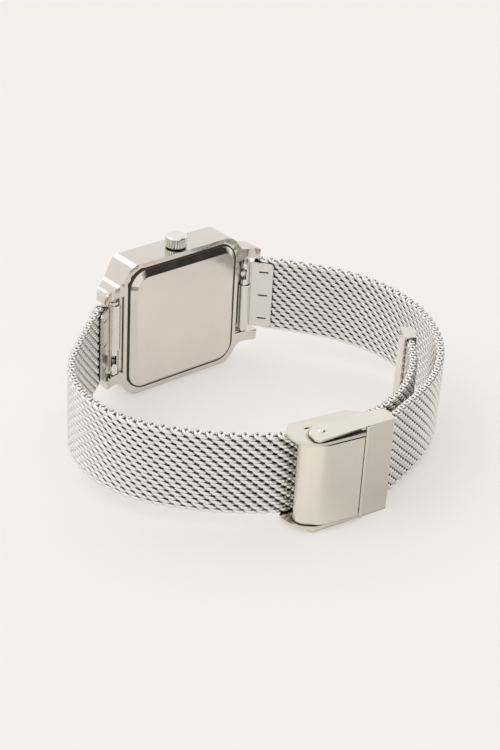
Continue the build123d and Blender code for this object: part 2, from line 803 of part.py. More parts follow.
# Spring bars: the right bar's knob is at its upper end, and the left bar's at its lower end
for side, upward in (("left", -1), ("right", 1)):
    bar_axis = Plane(origin=bars[side], x_dir=(1, 0, 0), z_dir=(0, 0, upward))
    knob_way = along(knob_bearings[side])
    with BuildPart() as spring_bar:
        with BuildSketch(bar_axis.offset(-bar_half)):
            Circle(bar_radius)
        extrude(amount=2 * bar_half)
        with BuildSketch(bar_axis.offset(-lug_inner - tip_depth)):
            Circle(tip_radius)
        extrude(amount=bar_end_gap + tip_depth)
        bore_start = knob_place - 2 * knob_travel
        with BuildSketch(bar_axis.offset(bore_start)):
            Circle(bar_bore)
        extrude(amount=bar_half - bore_start, mode=Mode.SUBTRACT)
        slot_low = knob_place - knob_travel - knob_radius - knob_slot_gap
        slot_high = knob_place + knob_radius + knob_slot_gap
        slot_middle = bars[side] + Vector(0, 0, upward * (slot_low + slot_high) / 2)
        with BuildSketch(Plane(origin=slot_middle, x_dir=(0, 0, 1), z_dir=knob_way)):
            Rectangle(slot_high - slot_low, 2 * (knob_radius + knob_slot_gap))
        extrude(amount=2 * bar_radius, mode=Mode.SUBTRACT)
    spring_bar.part.label = f"spring_bar_{side}"
    export_step(spring_bar.part, f"parts/spring_bar_{side}.step")

    with BuildPart() as release_pin:
        with BuildSketch(bar_axis.offset(knob_place - knob_radius)):
            Circle(tip_radius)
        extrude(amount=lug_inner + tip_depth - knob_place + knob_radius)
        with BuildSketch(Plane(origin=bars[side] + Vector(0, 0, upward * knob_place), z_dir=knob_way)):
            Circle(knob_radius)
        extrude(amount=bar_radius + knob_proud)
    release_pin.part.label = f"release_pin_{side}"
    export_step(release_pin.part, f"parts/release_pin_{side}.step")

# Mesh of the band, with its rows of coils as ribs
with BuildPart() as strap_long:
    with BuildLine() as long_path:
        draw_arcs(long_start, long_heading, long_bends)
        Line(clasp_entry, clasp_exit)
        draw_arcs(clasp_exit, clasp_heading, tail_bends)
    with BuildSketch():
        with BuildLine():
            woven_outline(long_path.wires()[0])
        make_face()
    extrude(amount=band_width / 2, both=True)
strap_long.part.label = "strap_long"
export_step(strap_long.part, "parts/strap_long.step")

with BuildPart() as strap_short:
    with BuildLine() as short_path:
        draw_arcs(short_start, short_heading, short_bends)
        TangentArc(short_low, short_join, tangent=along(short_low_heading))
        TangentArc(short_end, short_join, tangent=along(short_end_heading + 180))
    with BuildSketch():
        with BuildLine():
            woven_outline(short_path.wires()[0])
        make_face()
    extrude(amount=band_width / 2, both=True)
strap_short.part.label = "strap_short"
export_step(strap_short.part, "parts/strap_short.step")

# Sheet metal ends: a rolled tube on the spring bar, and plates on both faces of the mesh
for side, upward, heading, turned in (("left", -1, long_heading, -1), ("right", 1, short_heading, 1)):
    end_frame = Plane(origin=bars[side], x_dir=along(heading), z_dir=(0, 0, turned))
    plate_inner = band_offset - plate_gap
    plate_outer = band_offset + band_thickness + plate_gap
    plate_end = end_tube_start + end_plate_length
    web_start = band_start - plate_gap - end_plate_thickness
    inward = along(heading - 90 * turned)
    with BuildPart() as end_piece:
        with BuildSketch(end_frame):
            with Locations((end_tube_start, plate_inner - end_plate_thickness)):
                Rectangle(end_plate_length, end_plate_thickness, align=Align.MIN)
            with Locations((web_start, plate_outer)):
                Rectangle(plate_end - web_start, end_plate_thickness, align=Align.MIN)
            with Locations((web_start, plate_inner - end_plate_thickness)):
                web_height = plate_outer - plate_inner + 2 * end_plate_thickness
                Rectangle(end_plate_thickness, web_height, align=Align.MIN)
        extrude(amount=end_plate_height / 2, both=True)
        with BuildSketch(Plane(origin=bars[side], x_dir=along(heading), z_dir=inward)):
            with Locations((plate_end, 0)):
                outline_size = (3 * end_plate_length, end_plate_height, end_plate_round)
                RectangleRounded(*outline_size, align=(Align.MAX, Align.CENTER))
        extrude(amount=2 * plate_outer, both=True, mode=Mode.INTERSECT)
        with BuildSketch(end_frame.offset(-upward * turned * end_plate_height / 2)):
            Circle(end_tube_radius)
        extrude(amount=upward * turned * (end_plate_height / 2 + end_tube_stop))
        with BuildSketch(end_frame.offset(-end_plate_height)):
            Circle(bar_radius + running_gap)
        extrude(amount=2 * end_plate_height, mode=Mode.SUBTRACT)
        punch_along = end_tube_start + end_plate_length / 2 + end_plate_thickness
        for punch in (-punch_spacing, 0, punch_spacing):
            face = bars[side] + along(heading, punch_along) + inward * (end_plate_thickness - plate_inner)
            with BuildSketch(Plane(origin=(face.X, face.Y, punch), x_dir=along(heading), z_dir=inward)):
                SlotOverall(punch_length, punch_width)
            extrude(amount=-end_plate_thickness, mode=Mode.SUBTRACT)
    end_piece.part.label = f"end_piece_{side}"
    export_step(end_piece.part, f"parts/end_piece_{side}.step")

with BuildPart() as tail_cap:
    cap_turn = degrees(tail_cap_length / (2 * tail_radius))
    cap_frame = Plane(origin=tail_points[-1], x_dir=along(tail_heading - cap_turn), z_dir=(0, 0, 1))
    cap_inner = band_thickness + 2 * plate_gap
    with BuildSketch(cap_frame):
        with Locations((plate_gap + tail_cap_wall, 0)):
            Rectangle(tail_cap_length, cap_inner + 2 * tail_cap_wall, align=(Align.MAX, Align.CENTER))
    extrude(amount=band_width / 2 + plate_gap + tail_cap_wall, both=True)
    with BuildSketch(cap_frame):
        with Locations((plate_gap, 0)):
            Rectangle(tail_cap_length + cut_over, cap_inner, align=(Align.MAX, Align.CENTER))
    extrude(amount=band_width / 2 + plate_gap, both=True, mode=Mode.SUBTRACT)
tail_cap.part.label = "tail_cap"
export_step(tail_cap.part, "parts/tail_cap.step")

# Hook on the short side: a plate under the mesh, with a lip that catches the clasp's pin
hook_top = hook_pin_out - hook_pin_radius - hook_gap
hook_back = hook_pin_along - hook_pin_radius - hook_gap
with BuildPart() as strap_hook:
    with BuildSketch(clasp):
        with BuildLine():
            upstream = Vector(cos(radians(short_end_slope)), sin(radians(short_end_slope)))
            inward = Vector(-upstream.Y, upstream.X)
            seat = Vector(hook_mesh_along, -hook_mesh_out) + inward * (band_thickness + plate_gap)
            seat_tail = seat + upstream * hook_seat_length
            under_tail = seat_tail + inward * hook_thickness / 2
            Polyline(
                (hook_back - hook_thickness, hook_lip_drop - hook_pin_out),
                (hook_back, hook_lip_drop - hook_pin_out),
                (hook_back, -hook_top),
                (seat.X, seat.Y),
                (seat_tail.X, seat_tail.Y),
                (under_tail.X, under_tail.Y),
                (seat.X, -hook_top + hook_thickness),
                (hook_back - hook_thickness, -hook_top + hook_thickness),
                close=True,
            )
        make_face()
    extrude(amount=hook_width / 2, both=True)
strap_hook.part.label = "strap_hook"
export_step(strap_hook.part, "parts/strap_hook.step")

# Clasp. Its drawing plane has Y towards the wrist, so what lies outwards is less than 0.


def arm_face(distance):
    """Height of the arm's outer face at a distance along the mesh."""
    return arm_depth + (arm_end_depth - arm_depth) * (distance - arm_start) / (arm_end - arm_start)


with BuildPart() as clasp_slider:
    with BuildSketch(clasp):
        floor_top = band_thickness + plate_gap
        ear_end = hook_back - fit_gap
        with BuildLine():
            FilletPolyline(
                (-slider_front, 0),
                (-slider_front, -slider_depth),
                (flap_end, -slider_depth),
                radius=slider_nose,
            )
            Polyline(
                (flap_end, -slider_depth),
                (flap_end, -arm_face(flap_end) + arm_thickness + cross_plate_gap),
                (ear_end, -arm_face(ear_end) + arm_thickness + cross_plate_gap),
                (ear_end, -hook_pin_out + hook_pin_radius),
                (slider_back, 0),
                (slider_back - ear_round, floor_top / 2),
                (floor_back, floor_top + slider_floor),
                (-floor_front, floor_top + slider_floor),
                (-slider_front, 0),
            )
        make_face()
    extrude(amount=ear_outer, both=True)
    with BuildSketch(clasp):
        with Locations((0, floor_top)):
            Rectangle(2 * (slider_back + cut_over), 4 * slider_depth, align=(Align.CENTER, Align.MAX))
    extrude(amount=ear_inner, both=True, mode=Mode.SUBTRACT)
    with BuildSketch(clasp):
        with Locations((rivet_along, -rivet_out)):
            Circle(rivet_radius + running_gap)
        with Locations((ear_slot_along, -ear_slot_out)):
            SlotOverall(ear_slot_length, ear_slot_width)
    extrude(amount=ear_outer + cut_over, both=True, mode=Mode.SUBTRACT)
    with BuildSketch(clasp):
        with Locations((flap_pivot_along, -flap_pivot_out)):
            Circle(flap_pin_radius + running_gap)
    extrude(amount=ear_outer - pin_cover, both=True, mode=Mode.SUBTRACT)
clasp_slider.part.label = "clasp_slider"
export_step(clasp_slider.part, "parts/clasp_slider.step")

with BuildPart() as clasp_arm:
    with BuildSketch(clasp):
        with BuildLine():
            FilletPolyline(
                (arm_start, -rivet_out),
                (arm_start, -arm_depth),
                (arm_end, -arm_end_depth),
                (arm_end, -arm_edge),
                (arm_waist_end + arm_waist_run, -arm_edge),
                (arm_waist_end, -arm_waist),
                (arm_waist_start, -arm_waist),
                (rivet_along, -arm_foot),
                close=True,
                radius=arm_rounds,
            )
        make_face()
    extrude(amount=arm_outer, both=True)
    with BuildSketch(clasp):
        with BuildLine():
            past_start, past_end = arm_start - cut_over, arm_end + cut_over
            Polyline(
                (past_start, 0),
                (past_start, -arm_depth - cut_over),
                (cross_plate_start, -arm_depth - cut_over),
                (cross_plate_start, -arm_face(cross_plate_start) + arm_thickness),
                (past_end, -arm_face(past_end) + arm_thickness),
                (past_end, 0),
                close=True,
            )
        make_face()
    extrude(amount=arm_inner, both=True, mode=Mode.SUBTRACT)
    with BuildSketch(clasp):
        with Locations((rivet_along, -rivet_out)):
            Circle(rivet_radius)
        with Locations((hook_pin_along, -hook_pin_out)):
            Circle(hook_pin_radius)
    extrude(amount=arm_outer + cut_over, both=True, mode=Mode.SUBTRACT)
clasp_arm.part.label = "clasp_arm"
export_step(clasp_arm.part, "parts/clasp_arm.step")

with BuildPart() as clasp_rivets:
    for outward in (1, -1):
        with BuildSketch(clasp.offset(outward * (ear_inner + fit_gap))):
            with Locations((rivet_along, -rivet_out)):
                Circle(rivet_radius)
        extrude(amount=outward * (arm_outer - ear_inner - fit_gap))
        with BuildSketch(clasp.offset(outward * arm_outer)):
            with Locations((rivet_along, -rivet_out)):
                Circle(rivet_head)
        extrude(amount=outward * rivet_head_thickness, taper=45)
clasp_rivets.part.label = "clasp_rivets"
export_step(clasp_rivets.part, "parts/clasp_rivets.step")

with BuildPart() as clasp_hook_pin:
    with BuildSketch(clasp):
        with Locations((hook_pin_along, -hook_pin_out)):
            Circle(hook_pin_radius)
    extrude(amount=arm_outer, both=True)
clasp_hook_pin.part.label = "clasp_hook_pin"
export_step(clasp_hook_pin.part, "parts/clasp_hook_pin.step")

with BuildPart() as lock_flap:
    flap_face = slider_depth + flap_gap - flap_thickness / 2
    with BuildSketch(clasp):
        with BuildLine():
            FilletPolyline(
                (flap_pivot_along, -flap_pivot_out),
                (flap_heel_along, -flap_pivot_out - flap_thickness),
                (flap_heel_along, -flap_heel_out),
                (flap_crest, -flap_face),
                (flap_end - flap_gap, -flap_face),
                radius=flap_bends,
            )
        trace(line_width=flap_thickness)
        with Locations((flap_pivot_along, -flap_pivot_out)):
            Circle(flap_hub_radius)
    extrude(amount=ear_inner - flap_gap, both=True)
    with BuildSketch(clasp):
        with Locations((flap_pivot_along, -flap_pivot_out)):
            Circle(flap_pin_radius)
    extrude(amount=ear_outer - pin_cover - running_gap, both=True)
lock_flap.part.label = "lock_flap"
export_step(lock_flap.part, "parts/lock_flap.step")
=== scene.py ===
from math import atan2, ceil, cos, degrees, pi, radians, sin, sqrt

import bmesh
import bpy
import numpy as np
from mathutils import Matrix, Vector


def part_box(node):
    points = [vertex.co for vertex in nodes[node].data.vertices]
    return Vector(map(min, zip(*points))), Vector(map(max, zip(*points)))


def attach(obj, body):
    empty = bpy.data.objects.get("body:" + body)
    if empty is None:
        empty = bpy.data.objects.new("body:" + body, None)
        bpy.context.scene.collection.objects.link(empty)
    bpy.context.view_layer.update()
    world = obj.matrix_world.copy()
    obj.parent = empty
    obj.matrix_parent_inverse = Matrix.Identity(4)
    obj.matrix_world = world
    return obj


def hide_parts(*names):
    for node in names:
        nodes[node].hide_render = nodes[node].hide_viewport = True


# A square steel watch on a woven mesh band, standing on its side on a pale floor.
# The frame is the model's own: X across the lugs, Y towards the dial, Z towards the crown.
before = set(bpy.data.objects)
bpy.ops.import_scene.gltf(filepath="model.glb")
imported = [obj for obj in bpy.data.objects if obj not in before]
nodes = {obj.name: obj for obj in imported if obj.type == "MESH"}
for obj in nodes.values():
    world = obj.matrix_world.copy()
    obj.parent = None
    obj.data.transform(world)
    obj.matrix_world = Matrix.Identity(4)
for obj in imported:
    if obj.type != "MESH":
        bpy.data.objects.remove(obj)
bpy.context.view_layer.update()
MM = 0.001

# Photograph: its size in pixels, where its camera stood, in millimetres, and which way it looked
PHOTO_SIZE = (500, 750)
FOCAL_PIXELS = 1665
SENSOR_WIDTH = 36
NEAREST_SEEN = 1 * MM
FARTHEST_SEEN = 20000 * MM
CAMERA_PLACE = Vector((-161.57, -201.60, 135.44)) * MM
CAMERA_FORWARD = Vector((0.57488, 0.65344, -0.49248))
CAMERA_ROLL = radians(3.4)

# Floor, in millimetres. Its glow is the share of it that is plain and bright, without shadow, to the
# camera and in metal.
FLOOR_SIZE = 4000
FLOOR_GAP = 0.05
FLOOR_COLOUR = (0.90, 0.885, 0.865, 1)
FLOOR_ROUGHNESS = 0.9
FLOOR_GLOW = 0.55
GLOW_COLOUR = (0.930, 0.900, 0.862, 1)

# Dimmer round patches of the floor, which only metal shows: in front of the clasp, and to the right.
# Each has its X and Y, where its inside ends, where it ends, and how bright it is.
DIM_PATCHES = ((2.0, -78.0, 18.0, 34.0, 0.56), (75.0, -30.0, 25.0, 40.0, 0.25))

# Room: bright, with a dark side and a window. Their starts and ends are cosines of the angle from them.
ROOM_COLOUR = (1.0, 0.985, 0.965, 1)
ROOM_STRENGTH = 0.95
SEEN_COLOUR = (0.90, 0.885, 0.87, 1)
DARK_SIDE = Vector((0.60, -0.76, 0.26)).normalized()
DARK_COLOUR = (0.03, 0.028, 0.026, 1)
DARK_START = 0.72
DARK_END = 0.90
WINDOW_SIDE = Vector((0.16, 0.70, 0.62)).normalized()
WINDOW_COLOUR = (1, 1, 1, 1)
WINDOW_START = 0.940
WINDOW_END = 0.998
WINDOW_GLOW = 0.8

# Lamp: its size and place in millimetres, and its power in watts
LAMP_SIZE = 350
LAMP_POWER = 0.5
LAMP_PLACE = Vector((-350, 150, 550)) * MM
LAMP_AIM = Vector((0, -20, 0)) * MM

# Turned edge of the clasp's lever plate, along the clasp and outwards from it, in millimetres
LIP_ALONG = 4.86
LIP_OUT = 4.20
LIP_RADIUS = 0.42
LIP_FOOT = 3.78
LIP_HALF = 8.08

# Mouth of the end cap, in millimetres. The cap ends a little past the mesh's end.
CAP_LENGTH = 3.8
CAP_END = 0.25
CAP_INNER = 0.86
CAP_HALF = 7.1
CRIMP_FACE = 0.64
CRIMP_EDGE = 6.85
CRIMP_LENGTH = 0.5

# Case back, and the dark ring of painted shade in the gap round it, in millimetres: the ring's two edges
# are measured from the plate's edge, and its front and rear along Y
BACK_HALF_X = 11.4
BACK_HALF_Z = 11.3
BACK_CORNER = 3.2
SHADOW_RING_INNER = 0.02
SHADOW_RING_OUTER = 0.15
SHADOW_RING_FRONT = 0.80
SHADOW_RING_REAR = 1.42

# Grain of the metals, and painted shade in their crevices. The bump's depth is in millimetres.
GRAIN_DETAIL = 4.0
GRAIN_ROUGHNESS = 0.6
GRAIN_LOW = 0.3
GRAIN_HIGH = 0.7
BUMP_DEPTH = 0.02
CREVICE_SAMPLES = 8

# Gloss of painted and clear surfaces
GLOSS_SPREAD = 0.15
GLASS_REFRACTION = 1.5
GLASS_GRAIN_SCALE = 900.0
GLASS_HAZE = 0.03

# Softened edges of the CAD pieces, in millimetres and degrees
WELD_REACH = 0.002
SHARP_ANGLE = 30.0
EDGE_SEGMENTS = 2
FLAT_FACE_WEIGHT = 100
CASE_EDGE = 0.12
CROWN_EDGE = 0.03
SHEET_EDGE = 0.06
LEVER_EDGE = 0.18
CLASP_EDGE = 0.10
RIVET_EDGE = 0.04

# Woven mesh, in millimetres. A coil has part of a turn more than its height needs, and every second coil
# starts part of a turn later.
BAND_WIDTH = 14.0
BAND_THICKNESS = 1.5
COIL_PITCH = 0.885
COIL_RISE = 1.53
COIL_REACH = 1.0
COIL_DEPTH = 0.47
WIRE_HALF_WIDTH = 0.36
WIRE_HALF_DEPTH = 0.28
FACE_HEIGHT = 0.70
WIRE_SIDES = 6
TURN_STEPS = 12
END_TURN = 0.5
SECOND_COIL_TURN = 0.5

# Band route, in millimetres and degrees: radii of the outer face, and turns
BAR_X = 14.4
BAR_HEIGHT = 1.5
BAND_START = 1.6
BAND_OFFSET = 0.8
LONG_HEADING = 217.0
LONG_BENDS = ((147.0, 7.0), (20.0, 81.0), (44.0, 23.3), (7.5, 20.7))
CLASP_RUN = 10.8
TAIL_BENDS = ((19.2, 33.0), (33.3, 39.8))
SHORT_HEADING = -47.0
SHORT_BENDS = ((70.0, -11.0), (25.6, -52.5), (32.2, -47.0))
CLASP_LEAD = 5.7
SHORT_END_SLOPE = 33.0
SHORT_END_ALONG = 10.2
SHORT_END_OUT = 2.75

# Sheet metal round the spring bars, and the ledge of the case beside them, in millimetres and degrees
CASE_HALF = 12.5
TUBE_RADIUS = 1.15
SHEET_RADIUS = 0.92
WINDOW_LOW = 2.25
WINDOW_HIGH = 6.3
ARCH_HALF_TURN = 86.0
ARCH_STEPS = 16
LEDGE_RADIUS = 1.55
LEDGE_REACH = 14.95
LEDGE_HALF = 7.35
LEDGE_ARC = (165.0, 70.0)
LEDGE_OVERLAP = 0.1
LEDGE_FRONT = ((14.95, 4.3), (13.3, 5.75), (12.4, 6.1))


def along(heading, distance=1.0):
    """A step in the plane of the band's route, in the direction of a heading in degrees."""
    return np.array((cos(radians(heading)), sin(radians(heading)))) * distance


class Route:
    """A flat line of straight runs and tangent arcs, followed by its length."""

    def __init__(self, start, heading, inner_side):
        self.starts = []
        self.length = 0.0
        self.place = np.array(start, float)
        self.heading = heading
        self.inner_side = inner_side

    def add(self, length, turn=0.0):
        """A straight run, or an arc of that length that turns by so many degrees."""
        self.starts.append((self.length, self.place.copy(), self.heading, radians(turn) / length))
        self.length += length
        if turn:
            chord = length * sin(radians(turn) / 2) / (radians(turn) / 2)
            self.place = self.place + along(self.heading + turn / 2, chord)
        else:
            self.place = self.place + along(self.heading, length)
        self.heading += turn

    def add_bends(self, bends):
        """Arcs whose radii are those of the outer face."""
        for radius, turn in bends:
            self.add((radius - BAND_THICKNESS / 2) * abs(radians(turn)), turn)

    def add_arc_to(self, end):
        """The arc that leaves in the present direction and arrives at a place."""
        chord = end - self.place
        half = atan2(chord[1], chord[0]) - radians(self.heading)
        half = (half + pi) % (2 * pi) - pi
        self.add(np.hypot(*chord) * half / sin(half), degrees(2 * half))

    def at(self, distance):
        """Places and outward directions at an array of distances."""
        first = np.array([piece[0] for piece in self.starts])
        which = np.clip(np.searchsorted(first, distance, side="right") - 1, 0, None)
        local = distance - first[which]
        origin = np.array([piece[1] for piece in self.starts])[which]
        heading = np.radians([piece[2] for piece in self.starts])[which]
        curve = np.array([piece[3] for piece in self.starts])[which]
        half = curve * local / 2
        chord = local * np.sinc(half / pi)
        middle = heading + half
        place = origin + np.stack((chord * np.cos(middle), chord * np.sin(middle)), -1)
        side = heading + 2 * half - self.inner_side * pi / 2
        return place, np.stack((np.cos(side), np.sin(side)), -1)


def biarc_middle(start, start_heading, end, end_heading):
    """Where two tangent arcs meet that join two places, each with its own heading."""
    span = end - start
    first, last = along(start_heading), along(end_heading)
    both = first + last
    spread = 2 * (1 - first @ last)
    reach = (sqrt((span @ both) ** 2 + spread * (span @ span)) - span @ both) / spread
    return (start + first * reach + end - last * reach) / 2


def band_routes():
    """The middle lines of the long and the short side of the band, and the clasp's place and heading."""
    offset = BAND_OFFSET + BAND_THICKNESS / 2
    bar = np.array((-BAR_X, BAR_HEIGHT))
    start = bar + along(LONG_HEADING, BAND_START) - along(LONG_HEADING + 90, offset)
    long_side = Route(start, LONG_HEADING, 1)
    long_side.add_bends(LONG_BENDS)
    heading = long_side.heading
    clasp = long_side.place + along(heading, CLASP_LEAD) + along(heading - 90, BAND_THICKNESS / 2)
    long_side.add(CLASP_RUN)
    long_side.add_bends(TAIL_BENDS)

    bar = np.array((BAR_X, BAR_HEIGHT))
    start = bar + along(SHORT_HEADING, BAND_START) - along(SHORT_HEADING - 90, offset)
    short_side = Route(start, SHORT_HEADING, -1)
    short_side.add_bends(SHORT_BENDS)
    end_heading = heading + 180 + SHORT_END_SLOPE
    outer_end = clasp + along(heading, SHORT_END_ALONG) + along(heading - 90, SHORT_END_OUT)
    end = outer_end + along(end_heading - 90, BAND_THICKNESS / 2)
    middle = biarc_middle(short_side.place, short_side.heading, end, end_heading)
    short_side.add_arc_to(middle)
    short_side.add_arc_to(end)
    return long_side, short_side, clasp, heading


def coil(middle, lift, handed):
    """One flattened coil of wire across the band, as rings of points (along, outward, up)."""
    edge = BAND_WIDTH / 2 - WIRE_HALF_WIDTH
    turns = 2 * edge / COIL_RISE + END_TURN
    steps = int(ceil(turns * TURN_STEPS))
    angle = np.linspace(0, 2 * pi * turns, steps + 1) + lift * 2 * pi
    rise = (angle / (2 * pi) - lift - turns / 2) * COIL_RISE
    rise = np.clip(rise, -edge, edge)
    path = np.stack((handed * COIL_REACH * np.cos(angle), COIL_DEPTH * np.sin(angle), rise), -1)
    forward = np.gradient(path, axis=0)
    forward /= np.linalg.norm(forward, axis=1)[:, None]
    outward = np.stack((handed * np.cos(angle), np.sin(angle), 0 * angle), -1)
    outward -= forward * (outward * forward).sum(1)[:, None]
    outward /= np.linalg.norm(outward, axis=1)[:, None]
    across = np.cross(forward, outward)
    side = (2 * np.arange(WIRE_SIDES) + 1) * pi / WIRE_SIDES
    depth = WIRE_HALF_DEPTH * np.cos(side)
    width = WIRE_HALF_WIDTH * np.sin(side)
    points = path[:, None] + outward[:, None] * depth[:, None] + across[:, None] * width[:, None]
    points[..., 0] += middle
    points[..., 1] = np.clip(points[..., 1], -FACE_HEIGHT, FACE_HEIGHT)
    return points


def tube_faces(rings, sides, first):
    """The faces of a tube of rings, with a cap at each end."""
    faces = []
    for ring in range(rings - 1):
        low = first + ring * sides
        for side in range(sides):
            after = (side + 1) % sides
            faces.append((low + side, low + after, low + sides + after, low + sides + side))
    faces.append(tuple(first + side for side in reversed(range(sides))))
    last = first + (rings - 1) * sides
    faces.append(tuple(last + side for side in range(sides)))
    return faces


def woven_band(name, route, handed):
    """The mesh of one side of the band: interlocked coils, bent along its route."""
    count = int((route.length - 2 * (COIL_REACH + WIRE_HALF_DEPTH)) / COIL_PITCH) + 1
    margin = (route.length - (count - 1) * COIL_PITCH) / 2
    verts = []
    faces = []
    for number in range(count):
        points = coil(margin + number * COIL_PITCH, SECOND_COIL_TURN * (number % 2), handed)
        faces += tube_faces(points.shape[0], WIRE_SIDES, len(verts))
        flat = points.reshape(-1, 3)
        place, outward = route.at(flat[:, 0])
        place = place + outward * flat[:, 1:2]
        verts += np.column_stack((place, flat[:, 2])).tolist()
    mesh = bpy.data.meshes.new(name)
    mesh.from_pydata((np.array(verts) * MM).tolist(), [], faces)
    mesh.polygons.foreach_set("use_smooth", [True] * len(mesh.polygons))
    mesh.update()
    piece = bpy.data.objects.new(name, mesh)
    bpy.context.scene.collection.objects.link(piece)
    return piece


def solid_piece(name, verts, faces):
    """A closed piece from its places in millimetres, with its faces turned outwards."""
    mesh = bpy.data.meshes.new(name)
    mesh.from_pydata((np.array(verts) * MM).tolist(), [], faces)
    mesh.validate()
    piece = bpy.data.objects.new(name, mesh)
    bpy.context.scene.collection.objects.link(piece)
    work = bmesh.new()
    work.from_mesh(mesh)
    bmesh.ops.recalc_face_normals(work, faces=work.faces)
    work.to_mesh(mesh)
    work.free()
    return piece


def solid_strip(name, outline, low, high):
    """A closed piece with an outline in X and Y, in millimetres, between two heights."""
    count = len(outline)
    verts = [(x, y, z) for z in (low, high) for x, y in outline]
    faces = [(k, (k + 1) % count, count + (k + 1) % count, count + k) for k in range(count)]
    faces += [tuple(reversed(range(count))), tuple(range(count, 2 * count))]
    return solid_piece(name, verts, faces)


def arc_points(centre, radius, first, last, steps):
    """Points of an arc, between two bearings in degrees."""
    bearings = np.linspace(first, last, steps)
    return [tuple(np.array(centre) + along(bearing, radius)) for bearing in bearings]


def window_sheet(side, sign):
    """The far half of the rolled sheet beside the knob of a spring bar."""
    bar = (sign * BAR_X, BAR_HEIGHT)
    bearing = (LONG_HEADING if sign < 0 else SHORT_HEADING) + sign * 90
    first, last = bearing - ARCH_HALF_TURN, bearing + ARCH_HALF_TURN
    outline = arc_points(bar, TUBE_RADIUS, first, last, ARCH_STEPS)
    outline += arc_points(bar, SHEET_RADIUS, last, first, ARCH_STEPS)
    low, high = sorted((sign * WINDOW_LOW, sign * WINDOW_HIGH))
    return solid_strip(f"rolled_sheet_{side}", outline, low, high)


def case_ledge(side, sign):
    """The case between two lugs, which follows the spring bar's far side."""
    bar = (BAR_X, BAR_HEIGHT)
    outline = [(CASE_HALF - LEDGE_OVERLAP, BAR_HEIGHT + LEDGE_OVERLAP)]
    for point in arc_points(bar, LEDGE_RADIUS, *LEDGE_ARC, ARCH_STEPS):
        if point[0] < LEDGE_REACH:
            outline.append(point)
    outline += list(LEDGE_FRONT)
    outline = [(sign * x, y) for x, y in outline]
    return solid_strip(f"case_ledge_{side}", outline, -LEDGE_HALF, LEDGE_HALF)


def rounded_square(half_x, half_z, corner):
    """Places in X and Z of an outline with round corners."""
    points = []
    for x, z, first in ((1, 1, 0.0), (-1, 1, 90.0), (-1, -1, 180.0), (1, -1, 270.0)):
        centre = (x * (half_x - corner), z * (half_z - corner))
        points += arc_points(centre, corner, first, first + 90.0, ARCH_STEPS)
    return points


def back_shadow_ring():
    """A dark ring of painted shade in the gap between the case back and the rim of the case."""
    inner, outer = [
        rounded_square(BACK_HALF_X + grow, BACK_HALF_Z + grow, BACK_CORNER + grow)
        for grow in (SHADOW_RING_INNER, SHADOW_RING_OUTER)
    ]
    loops = ((inner, SHADOW_RING_FRONT), (outer, SHADOW_RING_FRONT), (outer, SHADOW_RING_REAR), (inner, SHADOW_RING_REAR))
    verts = [(x, y, z) for loop, y in loops for x, z in loop]
    count = len(inner)
    faces = []
    for loop in range(len(loops)):
        low = loop * count
        high = (loop + 1) % len(loops) * count
        for k in range(count):
            after = (k + 1) % count
            faces.append((low + k, low + after, high + after, high + k))
    return solid_piece("back_shadow_ring", verts, faces)


def on_clasp(clasp, heading, points):
    """Places in X and Y of points given along the clasp and outwards from it."""
    outward = heading - 90
    return [tuple(clasp + along(heading, distance) + along(outward, out)) for distance, out in points]


def plate_lip(clasp, heading):
    """The turned edge of the lever's cross plate, beside the end of the locking flap."""
    points = arc_points((LIP_ALONG, LIP_OUT), LIP_RADIUS, 180.0, 0.0, ARCH_STEPS)
    points += [(LIP_ALONG + LIP_RADIUS, LIP_FOOT), (LIP_ALONG - LIP_RADIUS, LIP_FOOT)]
    return solid_strip("lever_plate_lip", on_clasp(clasp, heading, points), -LIP_HALF, LIP_HALF)


def cap_crimps(route):
    """The mouth of the end cap, pressed onto the mesh on all four sides."""
    cap_heading = route.heading - degrees(CAP_LENGTH / 2 / TAIL_BENDS[1][0])
    mouth = CAP_END - CAP_LENGTH
    walls = (
        ("front", CRIMP_FACE, CAP_INNER, -CAP_HALF, CAP_HALF),
        ("rear", -CAP_INNER, -CRIMP_FACE, -CAP_HALF, CAP_HALF),
        ("top", -CAP_INNER, CAP_INNER, CRIMP_EDGE, CAP_HALF),
        ("bottom", -CAP_INNER, CAP_INNER, -CAP_HALF, -CRIMP_EDGE),
    )
    inside = mouth + CRIMP_LENGTH
    inward = cap_heading + 90
    for side, near, far, low, high in walls:
        corners = ((mouth, near), (inside, near), (inside, far), (mouth, far))
        places = [tuple(route.place + along(cap_heading, x) + along(inward, y)) for x, y in corners]
        yield solid_strip(f"cap_crimp_{side}", places, low, high)


def node_tree(name):
    """A new material, with its tree and its shader."""
    material = bpy.data.materials.new(name)
    material.use_nodes = True
    tree = material.node_tree
    shader = tree.nodes["Principled BSDF"]
    return material, tree, shader


def paint_crevice_shade(tree, shader, colour, reach, darkest, hemmed_in=0.2, free=0.7):
    """Painted shade in narrow gaps: the colour falls to a share of itself where it is hemmed in."""
    hemmed = tree.nodes.new("ShaderNodeAmbientOcclusion")
    hemmed.samples = CREVICE_SAMPLES
    hemmed.inputs["Distance"].default_value = reach * MM
    share = tree.nodes.new("ShaderNodeMapRange")
    share.inputs["From Min"].default_value = hemmed_in
    share.inputs["From Max"].default_value = free
    share.inputs["To Min"].default_value = darkest
    tree.links.new(hemmed.outputs["AO"], share.inputs["Value"])
    shade = tree.nodes.new("ShaderNodeMix")
    shade.data_type = "RGBA"
    shade.blend_type = "MULTIPLY"
    shade.inputs["Factor"].default_value = 1.0
    tree.links.new(colour, shade.inputs["A"])
    tree.links.new(share.outputs["Result"], shade.inputs["B"])
    tree.links.new(shade.outputs["Result"], shader.inputs["Base Color"])


